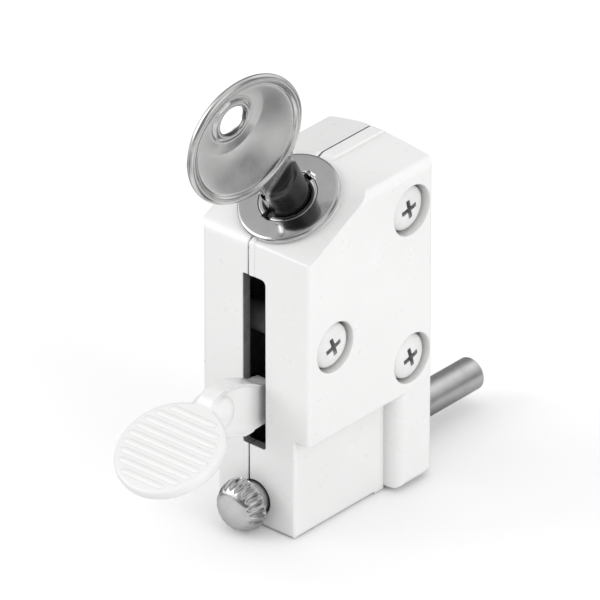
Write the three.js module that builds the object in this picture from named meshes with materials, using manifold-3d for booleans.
// Step-on keyed bolt lock for a sliding patio door.
// Units are millimetres, +Z up. X is the width (mounting face at -X, case-screw face at +X),
// Y is the depth (the pedal is at the front, -Y; the bolt leaves at the rear, +Y).
// The origin is on the mechanism's centre plane, at the front face and the case's underside.
// Cutting solids run a little past the faces they open.
import * as THREE from 'three';
import { mergeVertices } from 'three/addons/utils/BufferGeometryUtils.js';
import Module from 'manifold-3d';

const wasm = await Module();
wasm.setup();

// ---------- dimensions shared by several pieces ----------
// Axes parallel to X are [y, z] pairs.
const HALF_W = 16.25;        // half width of the upper case
const DEPTH = 42.5;
const PIVOT = [21.6, 40.0];  // lever pivot
const PIVOT_R = 2.0;
const PAWL_AXIS = [35.0, 50.0];
const PAWL_PIN_R = 1.5;
const PIN_END = 12.0;        // the pivot and pawl pins reach this far either side of x = 0
const RUNNING_GAP = 0.15;    // radial gap between a pin and the part turning on it

const BOLT_Z = 6.4;
const BOLT_R = 4.0;
const DRIVE_PIN = [35.6, BOLT_Z]; // cross pin of the bolt, bolt thrown

// turn: angle of the cross recess, degrees
const SCREWS = {
  screw_top: { axis: [35.1, 71.2], turn: 12 },
  screw_front: { axis: [9.0, 47.2], turn: 20 },
  screw_low: { axis: [35.4, 33.2], turn: 15 },
};
const HEAD_TOP = HALF_W - 0.7;
const HEAD_H = 2.4;
const HEAD_BASE = HEAD_TOP - HEAD_H;

const CYL_LEAN = 29;                      // lock cylinder axis, degrees from vertical
const BEZEL_BASE = [0.3, 11.6, 77.95];    // centre of the bezel's underside
const BEZEL_R = 12.15;
const BEZEL_T = 1.5;
const CYL_R = 9.2;
const CYL_L = 18.0;
const PLUG_R = 6.9;
const KEY_R = 5.3;
const KEY_TURN = 10.5;                    // degrees
const BOW_T = 1.8;

// ---------- helpers ----------
const rad = THREE.MathUtils.degToRad;
const both = (half) => [-half, half];
const union = (solids) => solids.reduce((a, b) => a.add(b));
const placed = (man, matrix) => man.transform(matrix.toArray());

function solid(geometry) {
  geometry.deleteAttribute('normal');
  geometry.deleteAttribute('uv');
  const merged = mergeVertices(geometry, 1e-5);
  return new wasm.Manifold(new wasm.Mesh({
    numProp: 3,
    vertProperties: new Float32Array(merged.attributes.position.array),
    triVerts: new Uint32Array(merged.index.array),
  }));
}

function toGeometry(man) {
  const mesh = man.getMesh();
  const geometry = new THREE.BufferGeometry();
  geometry.setAttribute('position', new THREE.Float32BufferAttribute(mesh.vertProperties, 3));
  geometry.setIndex(new THREE.Uint32BufferAttribute(mesh.triVerts, 1));
  return geometry;
}

const vectors = (points) => points.map(([a, b]) => new THREE.Vector2(a, b));
const lathe = (profile, segs) => new THREE.LatheGeometry(vectors(profile), segs);

// Extrudes an outline, then turns it so that its axes lie along the given ones.
function prism(outline, depth, xAxis, yAxis, zAxis, origin) {
  const shape = new THREE.Shape(vectors(outline));
  const axes = [xAxis, yAxis, zAxis].map((axis) => new THREE.Vector3(...axis));
  const matrix = new THREE.Matrix4().makeBasis(...axes).setPosition(...origin);
  return solid(
    new THREE.ExtrudeGeometry(shape, { depth, bevelEnabled: false }).applyMatrix4(matrix));
}
// prism of a (y, z) outline between two x values
const prismX = (outline, x0, x1) =>
  prism(outline, x1 - x0, [0, 1, 0], [0, 0, 1], [1, 0, 0], [x0, 0, 0]);
// prism of an (x, z) outline between two y values
const prismY = (outline, y0, y1) =>
  prism(outline, y1 - y0, [1, 0, 0], [0, 0, 1], [0, -1, 0], [0, y1, 0]);
// prism of an (x, y) outline between two z values
const prismZ = (outline, z0, z1) =>
  prism(outline, z1 - z0, [1, 0, 0], [0, 1, 0], [0, 0, 1], [0, 0, z0]);

const box = ([x0, x1], [y0, y1], [z0, z1]) => solid(
  new THREE.BoxGeometry(x1 - x0, y1 - y0, z1 - z0)
    .translate((x0 + x1) / 2, (y0 + y1) / 2, (z0 + z1) / 2));

// Cylinders along each axis; endR is the radius at the +X, +Y or +Z end.
const cylX = ([y, z], r, x0, x1, segs, endR = r) => solid(
  new THREE.CylinderGeometry(endR, r, x1 - x0, segs)
    .rotateZ(-Math.PI / 2).translate((x0 + x1) / 2, y, z));
const cylY = ([x, z], r, y0, y1, segs) => solid(
  new THREE.CylinderGeometry(r, r, y1 - y0, segs).translate(x, (y0 + y1) / 2, z));
// centred on the Z axis
const cylZ = (r, z0, z1, segs, endR = r) => solid(
  new THREE.CylinderGeometry(endR, r, z1 - z0, segs)
    .rotateX(Math.PI / 2).translate(0, 0, (z0 + z1) / 2));
// cylZ that narrows by inset from edgeZ up to z1
const chamferedZ = (r, z0, edgeZ, z1, segs, inset) =>
  cylZ(r, z0, edgeZ, segs).add(cylZ(r, edgeZ - 0.01, z1, segs, r - inset));

// Rounds an outline of [a, b, radius] corners; a corner without a radius stays sharp.
function rounded(corners, segs = 4) {
  return corners.flatMap(([x, y, radius = 0], i) => {
    if (!radius) return [[x, y]];
    const count = corners.length;
    const toward = ([px, py]) => new THREE.Vector2(px - x, py - y).normalize();
    const before = toward(corners[(i + count - 1) % count]);
    const after = toward(corners[(i + 1) % count]);
    const angle = Math.acos(THREE.MathUtils.clamp(before.dot(after), -1, 1));
    const bisector = before.clone().add(after).normalize();
    const corner = new THREE.Vector2(x, y);
    const centre = corner.clone().addScaledVector(bisector, radius / Math.sin(angle / 2));
    const [start, end] = [before, after].map((side) => {
      const tangent = corner.clone().addScaledVector(side, radius / Math.tan(angle / 2));
      return Math.atan2(tangent.y - centre.y, tangent.x - centre.x);
    });
    let sweep = end - start;
    while (sweep > Math.PI) sweep -= 2 * Math.PI;
    while (sweep < -Math.PI) sweep += 2 * Math.PI;
    return Array.from({ length: segs + 1 }, (_, k) => {
      const a = start + (sweep * k) / segs;
      return [centre.x + radius * Math.cos(a), centre.y + radius * Math.sin(a)];
    });
  });
}

// Takes [along, across] points from a frame at origin, turned by angle, to (y, z).
const turnedFrame = ([y, z], angle) => (points) => points.map(([along, across]) => [
  y + along * Math.cos(angle) - across * Math.sin(angle),
  z + along * Math.sin(angle) + across * Math.cos(angle),
]);

// frame of the lock cylinder: +z outward along its axis, up and toward the front
const cylFrame = new THREE.Matrix4().makeRotationX(rad(CYL_LEAN)).setPosition(...BEZEL_BASE);
const spunFrame = (degrees) =>
  cylFrame.clone().multiply(new THREE.Matrix4().makeRotationZ(rad(degrees)));
const keyFrame = spunFrame(-KEY_TURN);

// ---------- materials ----------
const finish = (color, { roughness, metalness = 1.0 }) =>
  new THREE.MeshStandardMaterial({ color, roughness, metalness });
const MAT = {
  white: finish(0xf2f2f0, { roughness: 0.35, metalness: 0.0 }),
  steel: finish(0x9a9a98, { roughness: 0.35 }),
  chrome: finish(0xd0d0d2, { roughness: 0.12 }),
  nickel: finish(0xc4c2bd, { roughness: 0.25 }),
  spring: finish(0x6e6e70, { roughness: 0.4 }),
};

// ---------- case ----------
const FOOT_HALF_W = 12.0;    // half width of the narrower foot
const LEDGE_Z = 25.2;        // height at which the case steps in
const COL_Y = 30.4;          // the foot is full width again behind this depth
const COL_Z = 0.9;           // underside of that full-width column
const REAR_Y = COL_Y - 3.2;  // the rear outline takes over from the front one here
const FRONT_TOP = 71.5;      // height of the front face
const RIDGE_Z = 84.0;        // top of the case at the seam
const SLOPE = Math.tan(rad(26.5)); // rise of the slanted face per depth
const RIDGE_Y = (RIDGE_Z - FRONT_TOP) / SLOPE;
const SEAM_X = -1.8;
const SEAM_GAP = 0.3;
const WALL = 2.6;
const SLANT_WALL = 2.9;      // slanted wall, measured upright
const FLOOR = 2.0;
const CAVITY_TOP = 79.0;
const POST_END = HALF_W - 1; // posts run into the side walls up to here
const COUNTERBORE_R = 6.15;
const LEDGE_EDGE = LEDGE_Z - 0.8;

// (x, z, radius): gabled roof with a low flat strip beside the seam
const ROOF = [
  [HALF_W, 81.6, 2.2], [2.1, 83.3], [2.1, RIDGE_Z, 0.4], [-2.1, RIDGE_Z], [-HALF_W, 81.0, 3.0],
];

function outerCase() {
  const upper = prismX([
    [0, LEDGE_Z], [DEPTH, LEDGE_Z], [DEPTH, RIDGE_Z], [RIDGE_Y, RIDGE_Z], [0, FRONT_TOP],
  ], -HALF_W, HALF_W);
  const foot = box(both(FOOT_HALF_W), [0, COL_Y + 1], [0, LEDGE_Z + 1]);
  const column = prismZ(rounded([
    [-HALF_W, COL_Y, 3.2], [HALF_W, COL_Y, 3.2], [HALF_W, DEPTH], [-HALF_W, DEPTH],
  ]), COL_Z, LEDGE_Z + 1);
  // upright edges rounded, in plan
  const upperPlan = prismZ(rounded([
    [-HALF_W, 0, 2.2], [HALF_W, 0, 1.2], [HALF_W, DEPTH, 1.6], [-HALF_W, DEPTH, 1.6],
  ]), -1, RIDGE_Z + 1);
  const footPlan = prismZ(rounded([
    [-FOOT_HALF_W, 0, 2.6], [FOOT_HALF_W, 0, 0.9],
    [FOOT_HALF_W, COL_Y + 1], [-FOOT_HALF_W, COL_Y + 1],
  ]), -1, LEDGE_Z + 2);
  // outlines across the width, with rounded shoulders and lower corners
  const front = prismY(rounded([
    [-FOOT_HALF_W, 0, 5.5], [FOOT_HALF_W, 0, 0.8], [FOOT_HALF_W, LEDGE_EDGE],
    [HALF_W, LEDGE_EDGE, 1.2], ...ROOF, [-HALF_W, LEDGE_EDGE, 1.2], [-FOOT_HALF_W, LEDGE_EDGE],
  ]), -1, REAR_Y);
  const rear = prismY(rounded([
    [-HALF_W, COL_Z, 1.5], [HALF_W, COL_Z, 1.5], ...ROOF,
  ]), REAR_Y, DEPTH + 1);
  const rearFoot = box(both(FOOT_HALF_W), [REAR_Y, COL_Y], [0, 3]);
  // outline seen from the side, edges rounded
  const side = prismX(rounded([
    [0, 0, 0.6], [DEPTH, 0, 1.2], [DEPTH, RIDGE_Z, 1.6], [RIDGE_Y, RIDGE_Z, 2.5],
    [0, FRONT_TOP, 1.0],
  ]), -HALF_W - 1, HALF_W + 1);
  // round seat under the bezel
  const seat = placed(cylZ(BEZEL_R - 0.35, -5, 0, 48), cylFrame)
    .intersect(box(both(20), [0.4, 40], [68, 90]));
  return upper.intersect(upperPlan).add(foot.intersect(footPlan)).add(column)
    .intersect(front.add(rear).add(rearFoot)).intersect(side).add(seat);
}

// the hollow, less the posts left standing in it
function cavity() {
  const base = LEDGE_Z + WALL - 1.5;
  const slantZ = FRONT_TOP - SLANT_WALL; // slanted inner face, carried on to y = 0
  const upper = prismX([
    [WALL, base], [DEPTH - WALL, base], [DEPTH - WALL, CAVITY_TOP],
    [(CAVITY_TOP - slantZ) / SLOPE, CAVITY_TOP], [WALL, slantZ + WALL * SLOPE],
  ], -HALF_W + WALL, HALF_W - WALL);
  const lower = box(both(FOOT_HALF_W - WALL), [WALL, DEPTH - WALL], [FLOOR, LEDGE_Z + WALL]);
  const posts = Object.values(SCREWS).flatMap(({ axis }) => [
    cylX(axis, 3.4, -POST_END, POST_END, 20),
    cylX(axis, 7.4, 10.6, POST_END, 24),
  ]);
  posts.push(
    cylX(PIVOT, 4.6, -POST_END, -6.0, 24), cylX(PIVOT, 4.6, 9.6, POST_END, 24),
    cylX(PAWL_AXIS, 3.4, -POST_END, -6.0, 20), cylX(PAWL_AXIS, 3.4, 6.6, POST_END, 20));
  return upper.add(lower).subtract(union(posts));
}

function caseOpenings() {
  const leverSlot = prismY(rounded([
    [-3.6, 19.6, 0.5], [3.1, 19.6, 0.8], [3.1, 63.0, 1.2], [-3.6, 63.0, 0.5],
  ], 3), -1, WALL + 0.5);
  const boltHole = cylY([0, BOLT_Z], BOLT_R + 0.35, -1, DEPTH + 1, 40);
  const cylinderHole = placed(cylZ(CYL_R + 0.3, -12, 3, 48), cylFrame);
  const screwHoles = Object.values(SCREWS).flatMap(({ axis }) => [
    cylX(axis, COUNTERBORE_R, HEAD_BASE - 0.1, HALF_W + 1, 32),
    cylX(axis, 2.3, -11.5, HALF_W, 20),
  ]);
  const socketEnd = PIN_END + 0.3;
  const pinGap = 0.2;
  return union([
    leverSlot, boltHole, cylinderHole, ...screwHoles,
    cylX(PIVOT, PIVOT_R + pinGap, -socketEnd, socketEnd, 24),
    cylX(PAWL_AXIS, PAWL_PIN_R + pinGap, -socketEnd, socketEnd, 20),
  ]);
}

// both halves of the housing, split at the seam
function housing() {
  const shell = outerCase().subtract(cavity()).subtract(caseOpenings());
  const cut = (xRange) => shell.intersect(box(xRange, [-10, 60], [-10, 100]));
  return {
    left: cut([-30, SEAM_X - SEAM_GAP / 2]),
    right: cut([SEAM_X + SEAM_GAP / 2, 30]),
  };
}

// ---------- case screws: pan head with a cross recess ----------
const HEAD_R = 5.45;
// (radius, distance outward from the head's underside)
const SCREW_PROFILE = [
  [0, -17.5], [1.7, -17.0], [1.95, -16.0], [1.95, 0], [HEAD_R, 0], [HEAD_R, HEAD_H * 0.42],
  [HEAD_R - 0.35, HEAD_H * 0.68], [HEAD_R - 1.5, HEAD_H * 0.92], [HEAD_R - 3.0, HEAD_H],
  [0, HEAD_H],
];

function crossRecess(axis, turn) {
  const arm = (degrees) => placed(
    box([-2.0, 1], both(0.55), both(2.5)),
    new THREE.Matrix4().makeRotationX(rad(degrees)).setPosition(HEAD_TOP, ...axis));
  const taper = cylX(axis, 0.7, HEAD_TOP - 2.1, HEAD_TOP + 0.5, 12, 1.5);
  return arm(turn).add(arm(turn + 90)).add(taper);
}

function caseScrew({ axis, turn }) {
  const blank = lathe(SCREW_PROFILE, 24).rotateZ(-Math.PI / 2).translate(HEAD_BASE, ...axis);
  return solid(blank).subtract(crossRecess(axis, turn));
}

// ---------- pedal lever: ribbed round pad, arm, hub, catch nose and a yoke over the bolt -------
const LEVER_X0 = -3.0;
const LEVER_X1 = 2.0;
const LIFT = 45.2;           // lever travel, degrees
const LIFT_STEPS = 12;
const YOKE_X = 7.0;          // half width of the yoke
const CHEEK_X = 4.6;         // inner faces of its cheeks
const LEG_R = 28.6;          // end of the solid leg, from the pivot
const TIP_R = 37.5;          // tips of the cheeks
const NOSE_ANGLE = 60;
const NOSE_R = 11.35;
const PAD_R = 13.0;
const PAD_T = 2.4;
const PAD_EDGE = 0.35;       // chamfer of the pad's top edge
const PAD_TILT = 26;
const PAD_CENTRE = [-28.4, 31.6]; // (y, z) of its top face
const RIB_PITCH = 2.4;

// (y, z, radius)
const ARM_OUTLINE = [
  [12, 25.6, 1.0], [-5.2, 25.0, 3], [-11.5, 27.4, 4], [-18.5, 30.9, 2], [-22.5, 31.4],
  [-22.5, 32.9], [-17.6, 35.8], [-15.6, 37.3, 1.0], [-11.5, 37.5, 4], [-4.5, 36.1, 4],
  [0, 35.3, 2], [9, 34.8], [18, 42.5], [24, 36], [26, 30], [20, 27],
];

// leg from the hub to the bolt, forked over the drive pin
function yoke() {
  const onLeg = turnedFrame(
    PIVOT, Math.atan2(DRIVE_PIN[1] - PIVOT[1], DRIVE_PIN[0] - PIVOT[0]));
  const leg = prismX(
    onLeg([[0, -4.6], [0, 4.6], [LEG_R, 3.6], [LEG_R, -3.6]]), LEVER_X0, LEVER_X1);
  const bridge = prismX(
    onLeg([[21.5, -3.6], [21.5, 3.6], [LEG_R, 3.6], [LEG_R, -3.6]]), -YOKE_X, YOKE_X);
  const cheekOutline = onLeg([
    [22, -3.6], [22, 3.6], [TIP_R - 0.8, 3.3], [TIP_R, 2.6], [TIP_R, -2.6], [TIP_R - 0.8, -3.3],
  ]);
  const fork = prismX(
    onLeg([[31.6, -1.95], [31.6, 1.95], [TIP_R + 2, 1.95], [TIP_R + 2, -1.95]]), -9, 9);
  return leg.add(bridge)
    .add(prismX(cheekOutline, -YOKE_X, -CHEEK_X))
    .add(prismX(cheekOutline, CHEEK_X, YOKE_X))
    .subtract(fork);
}

// built flat about its top centre, then tilted
function pad() {
  const parts = [chamferedZ(PAD_R, -PAD_T, -PAD_EDGE, 0, 48, PAD_EDGE)];
  for (let k = -4; k <= 4; k++) {
    const y = k * RIB_PITCH;
    const halfLength = Math.sqrt((PAD_R - 1.3) ** 2 - y * y);
    const section = [[y - 0.55, -0.1], [y + 0.55, -0.1], [y + 0.3, 0.5], [y - 0.3, 0.5]];
    parts.push(prismX(section, -halfLength, halfLength));
  }
  return placed(union(parts), new THREE.Matrix4().makeRotationX(rad(PAD_TILT))
    .setPosition((LEVER_X0 + LEVER_X1) / 2, ...PAD_CENTRE));
}

// clearance for the front case screw's post, swept as the lever rises
function postSweep() {
  const [y, z] = SCREWS.screw_front.axis;
  const cuts = [];
  for (let k = 0; k <= LIFT_STEPS; k++) {
    const turned = turnedFrame(PIVOT, rad((LIFT * k) / LIFT_STEPS));
    const [axis] = turned([[y - PIVOT[0], z - PIVOT[1]]]);
    cuts.push(cylX(axis, 3.85, -9, 9, 24));
  }
  return union(cuts);
}

function pedalLever() {
  const arm = prismX(rounded(ARM_OUTLINE, 3), LEVER_X0, LEVER_X1);
  const hub = cylX(PIVOT, 5.4, LEVER_X0 - 2.4, LEVER_X1 + 1.4, 32);
  const nose = prismX(turnedFrame(PIVOT, rad(NOSE_ANGLE))([
    [3, -2.2], [NOSE_R - 0.2, -1.5], [NOSE_R, -0.4], [NOSE_R - 0.5, 1.3], [3, 2.6],
  ]), LEVER_X0 + 0.2, LEVER_X1 - 0.2);
  return union([arm, hub, yoke(), nose])
    .subtract(postSweep())
    .add(pad())
    .subtract(cylX(PIVOT, PIVOT_R + RUNNING_GAP, -20, 20, 24));
}

// ---------- torsion springs ----------
// Centre line of a coil about an X axis with a straight tangent leg at each end.
class TorsionCurve extends THREE.Curve {
  constructor(options) {
    super();
    Object.assign(this, options);
  }

  getPoint(t, target = new THREE.Vector3()) {
    const { axis: [y, z], radius, x0, x1, turns, startLeg, endLeg } = this;
    const coilStart = 0.14; // shares of the curve's parameter
    const coilEnd = 0.86;
    const along = THREE.MathUtils.clamp((t - coilStart) / (coilEnd - coilStart), 0, 1);
    const angle = rad(200) + turns * 2 * Math.PI * along;
    let leg = 0; // distance along the tangent, off either end of the coil
    if (t < coilStart) leg = (-startLeg * (coilStart - t)) / coilStart;
    if (t > coilEnd) leg = (endLeg * (t - coilEnd)) / (1 - coilEnd);
    return target.set(
      x0 + (x1 - x0) * along,
      y + radius * Math.cos(angle) - Math.sin(angle) * leg,
      z + radius * Math.sin(angle) + Math.cos(angle) * leg);
  }
}

function torsionSpring({ wireR, steps, ...path }) {
  const section = new THREE.Shape();
  section.absarc(0, 0, wireR, 0, Math.PI * 2);
  return solid(new THREE.ExtrudeGeometry(section, {
    steps, extrudePath: new TorsionCurve(path), bevelEnabled: false, curveSegments: 3,
  }));
}

const RETURN_SPRING = {
  axis: PIVOT, radius: 4.0, x0: 4.2, x1: 8.4, turns: 3.25, startLeg: 11, endLeg: 9,
  wireR: 0.6, steps: 64,
};
const PAWL_SPRING = {
  axis: PAWL_AXIS, radius: 2.7, x0: 2.6, x1: 5.4, turns: 3.3, startLeg: 5, endLeg: 3.0,
  wireR: 0.4, steps: 56,
};

// ---------- bolt and knob ----------
const BOLT_TIP = 75.5;
const BOLT_FRONT = -3.4;
const STUB_R = 2.5;          // stub at the bolt's front end, inside the knob
const STUB_L = 3.0;
const KNOB_BACK = BOLT_FRONT - 0.05;
const FLUTES = 20;
const FLUTE_CIRCLE_R = 6.7;

function bolt() {
  const profile = [ // (radius, y)
    [0, BOLT_FRONT - STUB_L], [STUB_R, BOLT_FRONT - STUB_L], [STUB_R, BOLT_FRONT],
    [BOLT_R, BOLT_FRONT], [BOLT_R, BOLT_TIP - 0.7], [BOLT_R - 0.7, BOLT_TIP], [0, BOLT_TIP],
  ];
  return solid(lathe(profile, 40).translate(0, 0, BOLT_Z))
    .subtract(cylX(DRIVE_PIN, 1.62, -6, 6, 20));
}

function boltKnob() {
  const profile = [ // (radius, y from the knob's back face)
    [0, -5.0], [2.8, -4.85], [4.6, -4.2], [5.4, -3.2], [6.0, -1.6], [6.35, -0.4], [6.15, 0],
    [0, 0],
  ];
  const blank = solid(lathe(profile, 40).translate(0, KNOB_BACK, BOLT_Z));
  const flutes = Array.from({ length: FLUTES }, (_, k) => {
    const a = (k / FLUTES) * Math.PI * 2;
    const centre = [FLUTE_CIRCLE_R * Math.cos(a), BOLT_Z + FLUTE_CIRCLE_R * Math.sin(a)];
    return cylY(centre, 0.62, KNOB_BACK - 4.2, KNOB_BACK + 1, 6);
  });
  const bore = cylY([0, BOLT_Z], STUB_R + 0.12, KNOB_BACK - STUB_L - 0.1, KNOB_BACK + 1, 40);
  return blank.subtract(union(flutes)).subtract(bore);
}

// ---------- catch pawl ----------
// (y, z, radius)
const PAWL_OUTLINE = [
  [29.3, 48.4, 0.2], [30.4, 47.3, 0.3], [34.0, 47.6], [37.6, 48.6, 1.0], [37.8, 51.5, 1.0],
  [34.6, 55], [32.9, 65.6, 0.8], [30.3, 65.6, 0.8], [31.4, 55.5, 1.5], [31.6, 52.6, 1.0],
  [29.7, 51.2, 0.5],
];

function pawl() {
  return prismX(rounded(PAWL_OUTLINE, 3), -2.6, 1.6)
    .add(cylX(PAWL_AXIS, 3.0, -3.2, 2.0, 24))
    .subtract(cylX(PAWL_AXIS, PAWL_PIN_R + RUNNING_GAP, -20, 20, 20));
}

// ---------- lock cylinder, each piece built in the cylinder's or the key's frame ----------
const CAM_TOP = -CYL_L - 0.6;
const CAM_T = 1.6;
const CAM_TURN = 95;         // direction of the cam's finger, degrees
const TAIL_HALF = 2.9;       // half width of the plug's square tail

function cylinderBody() {
  const body = cylZ(CYL_R, -CYL_L, 0.1, 40)
    .add(chamferedZ(BEZEL_R, 0.05, BEZEL_T - 0.5, BEZEL_T, 56, 0.55))
    .subtract(cylZ(PLUG_R + 0.25, -CYL_L - 1, BEZEL_T + 1, 40));
  return placed(body, cylFrame);
}

// ring with four notches in its rim
function cylinderNut() {
  let nut = cylZ(10.3, -7.2, -5.2, 36).subtract(cylZ(CYL_R + 0.12, -8, 0, 40));
  for (let k = 0; k < 4; k++) {
    const turn = new THREE.Matrix4().makeRotationZ(rad(90 * k + 45));
    nut = nut.subtract(placed(box([9.7, 12], both(1.2), [-9, -3]), turn));
  }
  return placed(nut, cylFrame);
}

function plug() {
  const keyOpening = cylZ(KEY_R + 0.25, -8.6, BEZEL_T + 1, 40);
  const centrePost = cylZ(2.9, -9, BEZEL_T - 1.2, 24);
  // at both sides of the key opening
  const lugSlots = box(both(1.3), both(PLUG_R + 1), [-2.4, 3]).subtract(cylZ(3.4, -4, 4, 24));
  const tail = box(both(TAIL_HALF), both(TAIL_HALF), [-CYL_L - 2.4, -CYL_L]);
  const screwHole = cylZ(1.6, -CYL_L - 4, -CYL_L + 3, 20);
  const body = cylZ(PLUG_R, -CYL_L - 0.4, BEZEL_T - 0.4, 40)
    .subtract(keyOpening).add(centrePost).subtract(lugSlots).add(tail).subtract(screwHole);
  return placed(body, keyFrame);
}

// flat plate with a finger; its square hole is cut at the plug's angle
function cam() {
  const plate = prismZ(rounded([
    [-4.6, -4.6, 2], [4.6, -4.6, 2], [4.6, 4.6, 2], [1.4, 4.9, 1], [1.4, 9.4, 1.2],
    [-1.4, 9.4, 1.2], [-1.4, 4.9, 1], [-4.6, 4.6, 2],
  ], 3), CAM_TOP - CAM_T, CAM_TOP);
  const hole = both(TAIL_HALF + 0.15);
  return placed(plate, spunFrame(CAM_TURN))
    .subtract(placed(box(hole, hole, [CAM_TOP - 3, CAM_TOP + 1]), keyFrame));
}

function camScrew() {
  const screw = cylZ(1.45, CAM_TOP - 2.0, -CYL_L + 2.6, 20)
    .add(cylZ(3.7, CAM_TOP - 3.3, CAM_TOP - 1.85, 28))
    .subtract(box(both(0.5), both(5), [CAM_TOP - 4, CAM_TOP - 2.7]));
  return placed(screw, keyFrame);
}

// ---------- key: round pressed bow on a tubular barrel ----------
function keyBarrel() {
  const lug = (yRange) => box(both(1.0), yRange, [-2.0, 0.5]);
  const barrel = chamferedZ(KEY_R, -8.2, 7.4, 8.4, 40, 0.9)
    .subtract(cylZ(3.35, -9, 5.2, 28))
    .add(lug([KEY_R - 0.3, PLUG_R - 0.6]))
    .add(lug([-PLUG_R + 0.6, -KEY_R + 0.3]))
    .subtract(box(both(BOW_T / 2 + 0.12), both(8), [5.9, 12])); // slot for the bow
  return placed(barrel, keyFrame);
}

function keyBow() {
  const outerR = 16.15;
  const rimW = 1.7;
  const centre = [-2.55, 25.7]; // (y, z) in the key's frame
  const ringCentre = [centre[0] - 0.5, centre[1] + 7.7];
  const halfT = BOW_T / 2;
  const disc = (r, half, at = centre, segs = 48) => cylX(at, r, -half, half, segs);
  // thin web left between the recesses pressed into both faces
  const recesses = disc(outerR - rimW, 2).subtract(disc(outerR - 1.6, 0.5));
  const tang = prismX([[-4.6, 6.1], [4.6, 6.1], [6.4, 14], [-8.0, 14]], -halfT, halfT)
    .subtract(disc(outerR - rimW, 3));
  const bow = disc(outerR, halfT).subtract(recesses)
    .add(disc(5.4, halfT, ringCentre, 28))
    .subtract(disc(3.75, 3, ringCentre, 28))
    .add(tang);
  return placed(bow, keyFrame);
}

// ---------- assembly ----------
const group = new THREE.Group();
function add(name, man, material) {
  const mesh = new THREE.Mesh(toGeometry(man), material);
  mesh.name = name;
  group.add(mesh);
}

const { left, right } = housing();
add('housing_left', left, MAT.white);
add('housing_right', right, MAT.white);
for (const [name, screw] of Object.entries(SCREWS)) add(name, caseScrew(screw), MAT.white);
add('pedal_lever', pedalLever(), MAT.white);
add('pivot_pin', cylX(PIVOT, PIVOT_R, -PIN_END, PIN_END, 24), MAT.steel);
add('return_spring', torsionSpring(RETURN_SPRING), MAT.spring);
add('pawl_spring', torsionSpring(PAWL_SPRING), MAT.spring);
add('bolt', bolt(), MAT.steel);
add('drive_pin', cylX(DRIVE_PIN, 1.5, -7.3, 7.3, 20), MAT.steel);
add('bolt_knob', boltKnob(), MAT.chrome);
add('pawl', pawl(), MAT.steel);
add('pawl_pin', cylX(PAWL_AXIS, PAWL_PIN_R, -PIN_END, PIN_END, 20), MAT.steel);
add('cylinder_body', cylinderBody(), MAT.chrome);
add('cylinder_nut', cylinderNut(), MAT.steel);
add('plug', plug(), MAT.nickel);
add('cam', cam(), MAT.steel);
add('cam_screw', camScrew(), MAT.steel);
add('key_barrel', keyBarrel(), MAT.nickel);
add('key_bow', keyBow(), MAT.nickel);

export default group;
